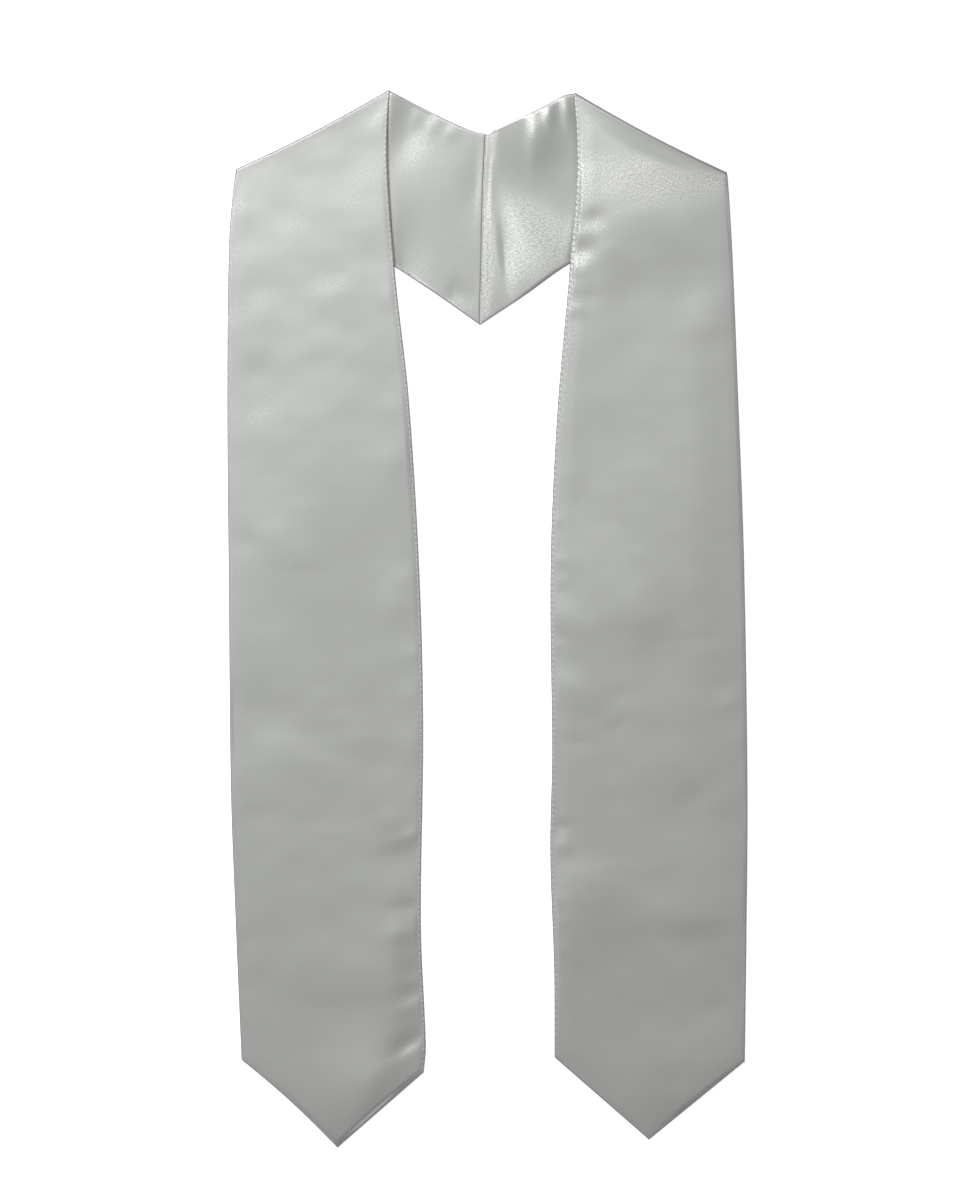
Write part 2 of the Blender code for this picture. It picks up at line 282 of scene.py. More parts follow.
RIGHT_FRONT_CREASES = (
    # The low swell below the shoulder, and the gathers beside it at the inner edge
    Crease(118.0, 303.0, 0.0, 73.0, 38.0, 36.0, 3.3),
    Crease(79.0, 300.0, 12.0, 9.0, 6.0, 8.0, -0.95),
    Crease(73.0, 277.0, 5.0, 9.0, 6.0, 7.0, -1.15),
    Crease(86.0, 268.0, -25.0, 16.0, 16.0, 24.0, 0.6),
    Crease(89.0, 277.0, 0.0, 12.0, 5.0, 9.0, 0.35),
    Crease(66.0, 287.0, 10.0, 6.0, 4.0, 5.0, 0.35),
    Crease(67.0, 261.0, 0.0, 10.0, 6.0, 7.0, 0.69),
    Crease(63.0, 249.0, 0.0, 7.0, 4.0, 5.0, 0.34),
    Crease(62.0, 232.0, 0.0, 8.0, 4.0, 5.0, 0.39),
    Crease(136.0, 236.0, -4.0, 34.0, 28.0, 60.0, -1.12),
    Crease(112.0, 252.0, 20.0, 18.0, 12.0, 22.0, -0.63),
    Crease(150.0, 262.0, -10.0, 20.0, 14.0, 22.0, -0.63),
    Crease(76.0, 241.0, 0.0, 9.0, 5.0, 8.0, -0.44),
    Crease(66.0, 224.0, 0.0, 8.0, 5.0, 7.0, -0.08),
    Crease(167.0, 222.0, 5.0, 16.0, 26.0, 12.0, 0.7),
    Crease(124.0, 193.0, -20.0, 20.0, 12.0, 24.0, 0.49),
    Crease(150.0, 66.0, 90.0, 165.0, 70.0, 32.0, 3.5),
    # The middle of the front
    Crease(66.0, 150.0, 89.0, 60.0, 12.0, 30.0, 0.56),
    Crease(82.0, 18.0, 89.0, 46.0, 24.0, 34.0, 1.4),
    Crease(75.0, 100.0, 80.0, 22.0, 8.0, 10.0, -0.21),
    Crease(52.0, 74.0, 0.0, 5.0, 4.0, 5.0, 0.28),
    Crease(54.0, 44.0, 0.0, 6.0, 4.0, 5.0, 0.28),
    Crease(55.0, 28.0, 0.0, 6.0, 4.0, 5.0, 0.28),
    Crease(62.0, 0.0, -50.0, 18.0, 8.0, 12.0, 0.7),
    Crease(57.0, -13.0, -37.0, 10.0, 4.0, 6.0, -0.35),
    Crease(52.0, -20.0, 0.0, 5.0, 3.0, 4.0, 0.21),
    Crease(66.0, -54.0, -34.0, 20.0, 11.0, 16.0, 1.12),
    Crease(114.0, 3.0, 10.0, 26.0, 32.0, 20.0, 1.68),
    Crease(114.0, 49.0, -30.0, 8.0, 2.5, 3.0, 0.1),
    Crease(128.0, -24.0, 14.0, 12.0, 12.0, 26.0, -0.42),
    Crease(159.0, -15.0, 0.0, 19.0, 4.0, 8.0, -0.28),
    Crease(96.0, -12.0, 0.0, 14.0, 11.0, 14.0, -0.28),
    Crease(96.0, -59.0, 10.0, 12.0, 7.0, 9.0, -0.35),
    Crease(99.0, -80.0, 30.0, 13.0, 5.0, 8.0, -0.35),
    Crease(69.0, -93.0, -5.0, 15.0, 4.0, 8.0, -0.35),
    Crease(92.0, -112.0, 0.0, 15.0, 8.0, 12.0, -0.35),
    Crease(137.0, -105.0, 5.0, 22.0, 12.0, 16.0, 0.35),
    Crease(178.0, -50.0, 10.0, 10.0, 7.0, 7.0, -0.28),
    Crease(178.0, -65.0, 15.0, 12.0, 5.0, 7.0, 0.35),
    Crease(156.0, -112.0, 4.0, 36.0, 40.0, 18.0, 0.77),
    Crease(153.0, -135.0, 40.0, 14.0, 8.0, 12.0, -0.49),
    Crease(177.0, -134.0, 10.0, 11.0, 8.0, 12.0, 0.28),
    # Towards the point
    Crease(56.0, -156.0, 0.0, 8.0, 4.0, 5.0, -0.55),
    Crease(55.0, -171.0, 0.0, 8.0, 5.0, 8.0, 0.63),
    Crease(72.0, -216.0, -25.0, 34.0, 26.0, 60.0, 2.4),
    Crease(71.0, -195.0, -22.0, 24.0, 14.0, 36.0, 1.2),
    Crease(54.0, -211.0, 0.0, 6.0, 4.0, 4.0, 0.28),
    Crease(54.0, -227.0, 0.0, 6.0, 4.0, 5.0, 0.35),
    Crease(58.0, -249.0, -20.0, 9.0, 5.0, 6.0, 0.35),
    Crease(92.0, -185.0, 12.0, 8.0, 2.5, 4.0, 0.14),
    Crease(107.0, -187.0, -28.0, 8.0, 2.5, 4.0, 0.14),
    Crease(122.0, -188.0, 22.0, 8.0, 2.5, 4.0, 0.14),
    Crease(138.0, -215.0, 0.0, 19.0, 6.0, 12.0, 0.12),
    Crease(156.0, -222.0, 2.0, 38.0, 50.0, 13.0, 1.85),
    Crease(126.0, -250.0, 0.0, 16.0, 12.0, 18.0, 0.32),
    Crease(152.0, -260.0, 0.0, 16.0, 12.0, 18.0, 0.32),
    Crease(170.0, -293.0, 10.0, 16.0, 10.0, 12.0, -0.42),
    Crease(150.0, -352.0, 8.0, 34.0, 34.0, 26.0, 1.7),
    Crease(160.0, -356.0, 40.0, 16.0, 14.0, 6.0, 0.35),
    Crease(150.0, -331.0, 0.0, 36.0, 22.0, 14.0, 1.0),
    Crease(118.0, -352.0, 10.0, 20.0, 30.0, 20.0, 0.98),
    Crease(121.0, -316.0, 90.0, 14.0, 4.0, 20.0, 0.24),
    Crease(146.0, -350.0, 39.0, 40.0, 26.0, 12.0, 0.1),
)
RIGHT_BACK_CREASES = (
    # Gathers at the neckline
    Crease(35.0, 361.0, 91.0, 18.0, 4.5, 15.0, 2.6),
    Crease(46.0, 379.0, 92.0, 9.0, 3.5, 5.0, 1.4),
    Crease(59.0, 381.0, 98.0, 12.0, 3.0, 5.0, 1.3),
    # The hollow that crosses the panel, and the swell above its lower edge
    Crease(36.0, 315.0, -50.0, 42.0, 15.0, 17.0, -1.2),
    Crease(20.0, 286.0, 32.0, 30.0, 32.0, 44.0, 1.4),
    Crease(13.5, 274.0, 96.0, 28.0, 4.5, 6.0, -1.5),
)

# Where both layers of the back stand off the table
LEFT_BACK_LIFTS = (Crease(-74.0, 388.0, 76.0, 28.0, 10.0, 10.0, 1.9),)
RIGHT_BACK_LIFTS = (
    Crease(38.0, 243.0, 30.0, 37.0, 44.0, 30.0, 4.5),
    Crease(27.0, 382.0, 28.0, 42.0, 10.0, 42.0, 3.4),
)

LEFT = Strip(
    side=-1,
    # From the centre back to the shoulder fold
    neckline=(
        Point(-1.3, 364.0),
        Point(-9.0, 365.2),
        Point(-26.6, 372.6),
        Point(-47.0, 382.6),
        Point(-73.9, 397.1),
    ),
    lower_edge=(Point(-5.6, 220.3), Point(-44.6, 247.5), Point(-110.0, 289.5), Point(-189.4, 337.1)),
    # From the shoulder fold to the point
    inner_edge=(
        Point(-73.9, 397.1),
        Point(-75.2, 344.0),
        Point(-69.4, 260.0),
        Point(-58.9, 164.0),
        Point(-50.8, 29.0),
        Point(-48.2, -84.0),
        Point(-49.9, -230.0),
        Point(-46.2, -322.0),
        Point(-47.8, -340.6),
    ),
    outer_edge=(
        Point(-189.4, 337.1),
        Point(-193.9, 284.0),
        Point(-195.4, 164.0),
        Point(-194.3, 29.0),
        Point(-192.7, -128.0),
        Point(-189.4, -219.0),
        Point(-184.7, -331.0),
    ),
    tip=Point(-112.5, -397.1),
    tip_hollow=2.4,
    roll=0.8,
    lift=0.25,
    step_run=200.0,
    pillow=Pillow(0.2, 0.4, 6.0, 12.0),
    thread=0.28,
    front_creases=LEFT_FRONT_CREASES,
    back_creases=LEFT_BACK_CREASES,
    back_lifts=LEFT_BACK_LIFTS,
)

RIGHT = Strip(
    side=1,
    neckline=(
        Point(-1.3, 364.0),
        Point(3.0, 366.0),
        Point(18.0, 372.8),
        Point(42.0, 384.2),
        Point(58.0, 393.2),
        Point(65.6, 395.0),
    ),
    lower_edge=(Point(-5.6, 220.3), Point(28.6, 242.6), Point(60.0, 265.0), Point(180.3, 334.8)),
    inner_edge=(
        Point(65.6, 395.0),
        Point(67.2, 334.0),
        Point(61.5, 261.4),
        Point(52.9, 164.0),
        Point(48.0, 70.0),
        Point(47.1, 5.0),
        Point(48.4, -100.0),
        Point(47.0, -175.0),
        Point(49.9, -263.0),
        Point(50.2, -329.2),
    ),
    outer_edge=(
        Point(180.3, 334.8),
        Point(184.0, 270.0),
        Point(188.3, 164.0),
        Point(192.6, 45.0),
        Point(195.2, -128.0),
        Point(194.4, -240.0),
        Point(193.2, -332.4),
    ),
    tip=Point(121.2, -391.1),
    tip_hollow=0.0,
    roll=4.2,
    lift=0.3,
    step_run=150.0,
    pillow=Pillow(0.8, 0.3, 14.0, 10.0),
    thread=0.21,
    front_creases=RIGHT_FRONT_CREASES,
    back_creases=RIGHT_BACK_CREASES,
    back_lifts=RIGHT_BACK_LIFTS,
)

# Slow waves of the cloth: turn in degrees, length, depth and start. Each wobbles by this share of its
# length, at this pace
WAVES = (
    Wave(82.0, 61.0, 0.06, 0.4),
    Wave(104.0, 43.0, 0.042, 2.1),
    Wave(61.0, 34.0, 0.03, 4.0),
    Wave(127.0, 27.0, 0.021, 1.2),
    Wave(18.0, 38.0, 0.03, 5.1),
    Wave(93.0, 19.0, 0.012, 3.3),
)
WAVE_WOBBLE = 0.35
WOBBLE_PACE = 0.61

# The right lining's rises over the seam allowances: distance of the middle from the seam, the falls
# before and after it, the height, and the lowest and highest Y
ALLOWANCES = (
    Allowance(2.1, 0.5, 0.6, 0.12, 200.0, 310.0),
    Allowance(6.4, 1.3, 3.0, 0.3, 214.0, 352.0),
)
ALLOWANCE_FADE = (0.0, 12.0)
ALLOWANCE_SIDE_FADE = (0.0, 3.0)


def ease(share):
    """A smooth step from 0 to 1."""
    share = np.clip(share, 0.0, 1.0)
    return share * share * (3 - 2 * share)


def fade(distance, start, run):
    """0 as far as the start, then a smooth rise to 1 over the run."""
    return ease((distance - start) / run)


def blend(a, b, share):
    return a + (b - a) * np.asarray(share)[..., None]


def raised(place, height):
    """Points at these places in plan, at these heights."""
    return np.concatenate([place, height[..., None]], axis=-1)


class Path:
    """A smooth curve through the points, read by its share of the length."""

    def __init__(self, points):
        self.samples = self.smooth([np.array(point, float) for point in points])
        steps = np.linalg.norm(np.diff(self.samples, axis=0), axis=1)
        self.reach = np.concatenate([[0.0], np.cumsum(steps)])
        self.length = self.reach[-1]

    @staticmethod
    def smooth(points):
        """Samples of a cubic between each two points, whose tangents come from their neighbours."""
        ends = [2 * points[0] - points[1], *points, 2 * points[-1] - points[-2]]
        samples = []
        for before, start, end, after in zip(ends, ends[1:], ends[2:], ends[3:]):
            span = np.linalg.norm(end - start)
            start_tangent = (end - before) * span / (np.linalg.norm(start - before) + span)
            end_tangent = (after - start) * span / (np.linalg.norm(after - end) + span)
            for step in range(SAMPLES_PER_SPAN):
                t = step / SAMPLES_PER_SPAN
                samples.append(
                    (2 * t**3 - 3 * t**2 + 1) * start
                    + (t**3 - 2 * t**2 + t) * start_tangent
                    + (3 * t**2 - 2 * t**3) * end
                    + (t**3 - t**2) * end_tangent
                )
        return np.array([*samples, points[-1]])

    def at(self, share):
        reach = np.asarray(share) * self.length
        columns = [np.interp(reach, self.reach, self.samples[:, axis]) for axis in (0, 1)]
        return np.stack(columns, axis=-1)


def relief(creases, place):
    """Summed height of the creases at the places."""
    x, y = place[..., 0], place[..., 1]
    total = np.zeros_like(x)
    for crease in creases:
        turn = math.radians(crease.turn)
        dx, dy = x - crease.x, y - crease.y
        along = dx * math.cos(turn) + dy * math.sin(turn)
        across = dy * math.cos(turn) - dx * math.sin(turn)
        width = np.where(across > 0, crease.upper, crease.lower)
        total += crease.height * np.exp(-((along / crease.reach) ** 2) - (across / width) ** 2)
    return total


def waves(place):
    """Slow, shallow and uneven waves all over the cloth."""
    x, y = place[..., 0], place[..., 1]
    total = np.zeros_like(x)
    for wave in WAVES:
        turn = math.radians(wave.turn)
        run = (x * math.cos(turn) + y * math.sin(turn)) / wave.length
        wobble = WAVE_WOBBLE * np.sin(WOBBLE_PACE * run + wave.start)
        total += wave.depth * np.sin(2 * np.pi * (run + wobble) + wave.start)
    return total


def round_over(distance):
    """0 at an edge and 1 past its round, along a quarter of an ellipse."""
    left = 1 - np.clip(distance / EDGE_ROUND, 0.0, 1.0)
    return np.sqrt(1 - left * left)


def column_shares():
    """Shares across the strip, crowded at both long edges."""
    share = np.linspace(0.0, 1.0, COLUMNS + 1)
    return share - COLUMN_CROWDING * np.sin(2 * np.pi * share) / (2 * np.pi)


def back_shares():
    """Sections of the back, crowded beside the centre seam."""
    near = SEAM_SHARE * np.linspace(0.0, 1.0, SEAM_ROWS, endpoint=False) ** 2
    return np.concatenate([near, np.linspace(SEAM_SHARE, 1.0, BACK_ROWS + 1)])


def front_shares(length):
    """Sections of the front, crowded at the pointed end."""
    end = POINT_RUN / length
    rows = int((length - POINT_RUN) / FRONT_PITCH)
    down = 1 - end * (1 - np.linspace(0.0, 1.0, POINT_ROWS + 1)) ** 2
    return np.concatenate([np.linspace(0.0, 1 - end, rows, endpoint=False), down])


class StripShape:
    """Works out where each point of one strip's face and lining lies.

    share runs along the back or the front, and across runs over the strip from the neckline and inner
    edge to the lower and outer edge. facing is 1 for the face, outside the fold, and -1 for the lining.
    """

    def __init__(self, strip):
        self.strip = strip
        self.seam = Path(SEAM)
        self.neckline = Path(strip.neckline)
        self.lower_edge = Path(strip.lower_edge)
        self.inner_edge = Path(strip.inner_edge)
        self.outer_edge = Path(strip.outer_edge)
        neck = np.array(strip.neckline[-1])
        self.shoulder = np.array(strip.lower_edge[-1])
        self.fold_length = np.linalg.norm(self.shoulder - neck)
        along = (self.shoulder - neck) / self.fold_length
        self.inward = np.array([-along[1], along[0]])
        if self.inward[1] > 0:
            self.inward = -self.inward
        back = np.array(SEAM[-1]) - self.shoulder
        self.back_line = back / np.linalg.norm(back)

    def rolled(self, across):
        return self.strip.roll * np.sin(np.pi * np.clip(across, 0.0, 1.0)) ** ROLL_ROUNDING

    def roll_slope(self, share, across):
        """Height left of the roll over the shoulder, which falls evenly to its foot."""
        skewed = np.clip(across, 0.0, 1.0) ** ROLL_SKEW
        foot = ROLL_RUN_ENDS + ROLL_RUN * np.sin(np.pi * skewed)
        left = 1 - ROLL_FALL * share * self.inner_edge.length / foot
        return self.rolled(across) * (left + np.sqrt(left * left + ROLL_SOFTNESS)) / 2

    def tuck(self, distance, across):
        """Moves points near the fold inward, so that the fold itself lies on the outline."""
        room = np.maximum(0.0, 1 - distance / FOLD_TUCK) ** 2
        sag = FOLD_SAG * np.sin(np.pi * across)
        outside = self.layer(1, round_over(self.edge_distance(across, self.fold_length)))
        return self.inward * (room * (FOLD_DEPTH + outside + sag))[..., None]

    def edge_distance(self, across, width):
        return np.minimum(across, 1 - across) * width

    def layer(self, facing, edge):
        """Height of a layer's outer side over the middle of the strip's two layers."""
        return facing * (EDGE_GAP / 2 + (STACK - EDGE_GAP) / 2 * edge)

    def back_plan(self, share, across):
        place = blend(self.neckline.at(share), self.lower_edge.at(share), across)
        straight_seam = blend(self.neckline.at(0.0), self.lower_edge.at(0.0), across)
        place = place + (self.seam.at(across) - straight_seam) * (1 - share)[..., None]
        place[..., 0] += self.strip.side * SEAM_GAP / 2 * (1 - ease(share / SEAM_SHARE))
        return place + self.tuck((1 - share) * self.neckline.length, across)

    def front_plan(self, share, across):
        corner_in, corner_out = self.inner_edge.at(1.0), self.outer_edge.at(1.0)
        tip = np.array(self.strip.tip)
        tip_share = (tip[0] - corner_in[0]) / (corner_out[0] - corner_in[0])
        middle = 1 - np.abs(2 * across - 1)
        point = fade(share, POINT_SHARE, 1 - POINT_SHARE)
        placed = across + (tip_share - 0.5) * middle * point
        place = blend(self.inner_edge.at(share), self.outer_edge.at(share), placed)
        drop = (blend(corner_in, corner_out, tip_share)[1] - tip[1]) * middle
        drop = drop - np.where(across > 0.5, self.strip.tip_hollow * np.sin(np.pi * middle), 0.0)
        place[..., 1] -= drop * point**POINT_CURVE
        return place + self.tuck(share * self.inner_edge.length, across)

    def past_back(self, place):
        """Distance past the straight line of the back's lower edge, less than 0 above the back."""
        to_place = place - self.shoulder
        crossed = self.back_line[0] * to_place[..., 1] - self.back_line[1] * to_place[..., 0]
        return self.strip.side * crossed

    def inside_opening(self, place):
        """Distance from the front's inner edge into the opening, where the back shows."""
        edge = self.inner_edge.samples[::-1]
        return self.strip.side * (np.interp(place[..., 1], edge[:, 1], edge[:, 0]) - place[..., 0])

    def to_point(self, share):
        """Distance from the slanted edges at the end of the front."""
        return (1 - share) * self.inner_edge.length * POINT_SLANT

    def front_lift(self, place, share, across):
        """Height of the front's underside, which lies on the back as far as the back reaches."""
        on_back = 1 - fade(self.past_back(place), STEP_START, self.strip.step_run)
        inner = across * self.fold_length
        opened = self.strip.lift * np.exp(-((inner / EDGE_LIFT_RUN) ** 2)) * fade(share, *EDGE_FOLD_FADE)
        opened = opened * fade(place[..., 1], *EDGE_LIFT_FADE)
        return FRONT_LIFT * on_back + self.roll_slope(share, across) + opened

    def allowance(self, place, reach, long_edge):
        """The lining's rise over the seam allowances, which lie to the right of the centre back."""
        if self.strip.side < 0:
            return 0.0
        total = 0.0
        for rise in ALLOWANCES:
            fall = np.where(reach < rise.middle, rise.before, rise.after)
            ends = fade(place[..., 1] - rise.low, *ALLOWANCE_FADE)
            ends = ends * fade(rise.high - place[..., 1], *ALLOWANCE_FADE)
            total = total + rise.height * np.exp(-(((reach - rise.middle) / fall) ** 2)) * ends
        return total * fade(long_edge, *ALLOWANCE_SIDE_FADE)

    def back_height(self, facing, place, long_edge, reach):
        edge = round_over(np.minimum(long_edge, reach))
        height = STACK / 2 - self.layer(facing, edge)
        inside = self.inside_opening(place)
        lifted = fade(reach, *LIFT_SEAM_FADE) * fade(inside, *LIFT_COVER_FADE)
        height = height + relief(self.strip.back_lifts, place) * lifted
        creases = relief(self.strip.back_creases, place)
        if facing > 0:
            return height + UNDERSIDE_SHARE * np.maximum(0.0, creases) * edge
        to_fold = np.maximum(0.0, (place - self.shoulder) @ self.inward)
        corner = self.strip.lift * np.exp(-((to_fold / CORNER_RUN) ** 2)) * fade(inside, *CORNER_COVER_FADE)
        height = height + corner * fade(long_edge, *CORNER_SIDE_FADE)
        held = fade(long_edge, *BACK_SIDE_FADE) * fade(reach, *BACK_SEAM_FADE)
        height = height + creases * held * fade(inside, *BACK_COVER_FADE)
        return height + self.allowance(place, reach, long_edge)

    def front_height(self, facing, place, share, across, width):
        near = np.minimum(self.edge_distance(across, width), self.to_point(share))
        height = STACK / 2 + self.layer(facing, round_over(near)) + self.front_lift(place, share, across)
        creases = relief(self.strip.front_creases, place) + waves(place)
        if facing < 0:
            held = fade(near, *UNDERSIDE_FADE) * fade(share, *CREASE_FOLD_FADE)
            return height + UNDERSIDE_SHARE * np.maximum(0.0, creases) * held
        height = height + self.swell(share, across, width) * fade(share, *PILLOW_FOLD_FADE)
        run = CREASE_RUN - CREASE_RUN_CUT * ease(across)
        return height + creases * fade(near, CREASE_START, run) * fade(share, *CREASE_FOLD_FADE)

    def swell(self, share, across, width):
        """How far a front swells between its edges."""
        pillow = self.strip.pillow
        to_inner = np.minimum(across * width, self.to_point(share))
        to_outer = np.minimum((1 - across) * width, self.to_point(share))
        inner = pillow.inner * ease(to_inner / pillow.inner_run)
        outer = pillow.outer * ease(to_outer / pillow.outer_run)
        return inner + (outer - inner) * ease(across)

    def back_grid(self, facing, columns):
        """Points from the centre back to the shoulder fold, their map, and their distance from edges."""
        shares = back_shares()
        share, across = np.meshgrid(shares, columns, indexing="ij")
        place = self.back_plan(share, across)
        width = np.linalg.norm(self.neckline.at(shares) - self.lower_edge.at(shares), axis=1)[:, None]
        long_edge = self.edge_distance(across, width)
        span = self.neckline.length + (self.lower_edge.length - self.neckline.length) * across
        reach = share * span
        points = raised(place, self.back_height(facing, place, long_edge, reach))
        cloth_map = np.stack([across * width, reach - span], axis=-1)
        # The last value draws the painted shade line along the edges and the seam
        return points, cloth_map, np.minimum(long_edge, SEAM_SHADE_LINE * reach)

    def fold_grid(self, facing, columns):
        """The same for the turn over the shoulder."""
        turns = np.pi * (np.arange(1, FOLD_ROWS) / FOLD_ROWS - 0.5)
        turn, across = np.meshgrid(turns, columns, indexing="ij")
        radius = (FRONT_LIFT + self.rolled(across)) / 2
        long_edge = self.edge_distance(across, self.fold_length)
        thick = self.layer(facing, round_over(long_edge))
        axis = self.back_plan(np.ones_like(across), across)
        place = axis - self.inward * ((FOLD_DEPTH + thick) * np.cos(turn))[..., None]
        points = raised(place, radius + STACK / 2 + (radius + thick) * np.sin(turn))
        cloth_map = np.stack([across * self.fold_length, (turn + np.pi / 2) * radius], axis=-1)
        # The last value draws the painted shade line along the edges and the fold's crest
        return points, cloth_map, np.minimum(long_edge, np.abs(turn) * FOLD_SHADE_LINE)

    def front_grid(self, facing, columns):
        """The same from the shoulder fold to the point."""
        shares = front_shares(self.inner_edge.length)
        share, across = np.meshgrid(shares, columns, indexing="ij")
        place = self.front_plan(share, across)
        width = np.linalg.norm(self.inner_edge.at(shares) - self.outer_edge.at(shares), axis=1)[:, None]
        points = raised(place, self.front_height(facing, place, share, across, width))
        run = share * self.inner_edge.length
        cloth_map = np.stack([across * width, FRONT_MAP_START + run], axis=-1)
        # The last value draws the painted shade line along the edges, paler where the front lies on the
        # back
        ends = np.minimum(self.to_point(share), FRONT_SHADE_LINE + FRONT_SHADE_LINE_RISE * run)
        pale = PALE_SHADE_LINE * fade(-self.past_back(place), *PALE_FADE) * (across < 0.5)
        return points, cloth_map, np.minimum(self.edge_distance(across, width) + pale, ends)

    def grid(self, facing, columns):
        """Points from the centre back over the shoulder to the point, with map and edge distance."""
        grids = [make(facing, columns) for make in (self.back_grid, self.fold_grid, self.front_grid)]
        return [np.concatenate(parts) for parts in zip(*grids)]

    def stitch_lines(self):
        """Points along each stitch, just inside the front's inner edge, on the face."""
        count = int((self.inner_edge.length - POINT_RUN) / STITCH_PITCH)
        order = np.arange(count)
        starts = (order + 0.5) * STITCH_PITCH + STITCH_DRIFT * np.sin(DRIFT_TURN * order)
        rings = []
        for offset in np.linspace(-0.5, 0.5, len(THREAD_GIRTHS)):
            share = (starts + offset * STITCH_LENGTH) / self.inner_edge.length
            width = np.linalg.norm(self.inner_edge.at(share) - self.outer_edge.at(share), axis=1)
            across = (STITCH_INSET + STITCH_SWAY * np.sin(SWAY_TURN * order)) / width
            place = self.front_plan(share, across)
            height = self.front_height(1, place, share, across, width)
            arch = self.strip.thread * (THREAD_TOP - THREAD_DIP * offset * offset)
            rings.append(raised(place, height + arch))
        return np.stack(rings, axis=1)


def tilts(points):
    """How far the cloth leans to face the light, where a painted glint brightens the grain of its colour.
    """
    normal = np.cross(np.gradient(points, axis=1), np.gradient(points, axis=0))
    flat = np.abs(normal[..., 2]) + GLINT_HOLD * np.linalg.norm(normal, axis=-1) + NEVER_ZERO
    facing = normal * np.sign(normal[..., 2:])
    slope = (GLINT_Y * facing[..., 1] + GLINT_X * facing[..., 0]) / flat
    return slope * fade(points[..., 1], *GLINT_FADE)


def link_object(name, data):
    linked = bpy.data.objects.new(name, data)
    bpy.context.scene.collection.objects.link(linked)
    return linked


def store_values(mesh, name, values):
    """Keeps a value for each point of the mesh, for the material to read."""
    attribute = mesh.attributes.new(name, "FLOAT", "POINT")
    attribute.data.foreach_set("value", values.ravel().astype(np.float32))


def grid_mesh(name, points, cloth_map, edges, outward):
    rows, columns = points.shape[:2]
    index = np.arange(rows * columns).reshape(rows, columns)
    quads = np.stack([index[:-1, :-1], index[:-1, 1:], index[1:, 1:], index[1:, :-1]], axis=-1)
    quads = quads.reshape(-1, 4)
    if not outward:
        quads = quads[:, ::-1]
    mesh = bpy.data.meshes.new(name)
    mesh.from_pydata((points.reshape(-1, 3) * MM).tolist(), [], quads.tolist())
    corners = cloth_map.reshape(-1, 2)[quads.ravel()] * MM
    mesh.uv_layers.new(name="cloth").uv.foreach_set("vector", corners.astype(np.float32).ravel())
    # The edge distance draws a painted shade line, and the tilt a painted glint, in the satin's colour
    store_values(mesh, "edge", edges * MM)
    store_values(mesh, "tilt", tilts(points))
    mesh.shade_smooth()
    return mesh


def shell(name, points, cloth_map, edges, outward, material):
    """One layer of cloth: a fine grid, thickened inward."""
    mesh = grid_mesh(name, points, cloth_map, edges, outward)
    mesh.materials.append(material)
    layer = link_object(name, mesh)
    wall = layer.modifiers.new("wall", "SOLIDIFY")
    wall.thickness = LAYER * MM
    wall.offset = -1.0
    wall.use_rim = True
    return layer


def stitches(name, lines, radius, material):
    """Short round threads through the rows of points."""
    along = lines[:, -1] - lines[:, 0]
    along /= np.linalg.norm(along, axis=1)[:, None]
    beside = np.cross(along, (0.0, 0.0, 1.0))
    above = np.cross(beside, along)
    turns = np.arange(THREAD_SIDES) * 2 * np.pi / THREAD_SIDES
    rim = np.cos(turns)[:, None] * beside[:, None] + np.sin(turns)[:, None] * above[:, None]
    girths = radius * np.array(THREAD_GIRTHS)
    points = lines[:, :, None] + girths[None, :, None, None] * rim[:, None]
    index = np.arange(points[..., 0].size).reshape(points.shape[:3])
    around = np.roll(index, -1, axis=2)
    quads = np.stack([index[:, :-1], around[:, :-1], around[:, 1:], index[:, 1:]], axis=-1).reshape(-1, 4)
    caps = np.concatenate([index[:, 0, ::-1], index[:, -1]])
    mesh = bpy.data.meshes.new(name)
    mesh.from_pydata((points.reshape(-1, 3) * MM).tolist(), [], quads.tolist() + caps.tolist())
    mesh.shade_smooth()
    mesh.materials.append(material)
    return link_object(name, mesh)


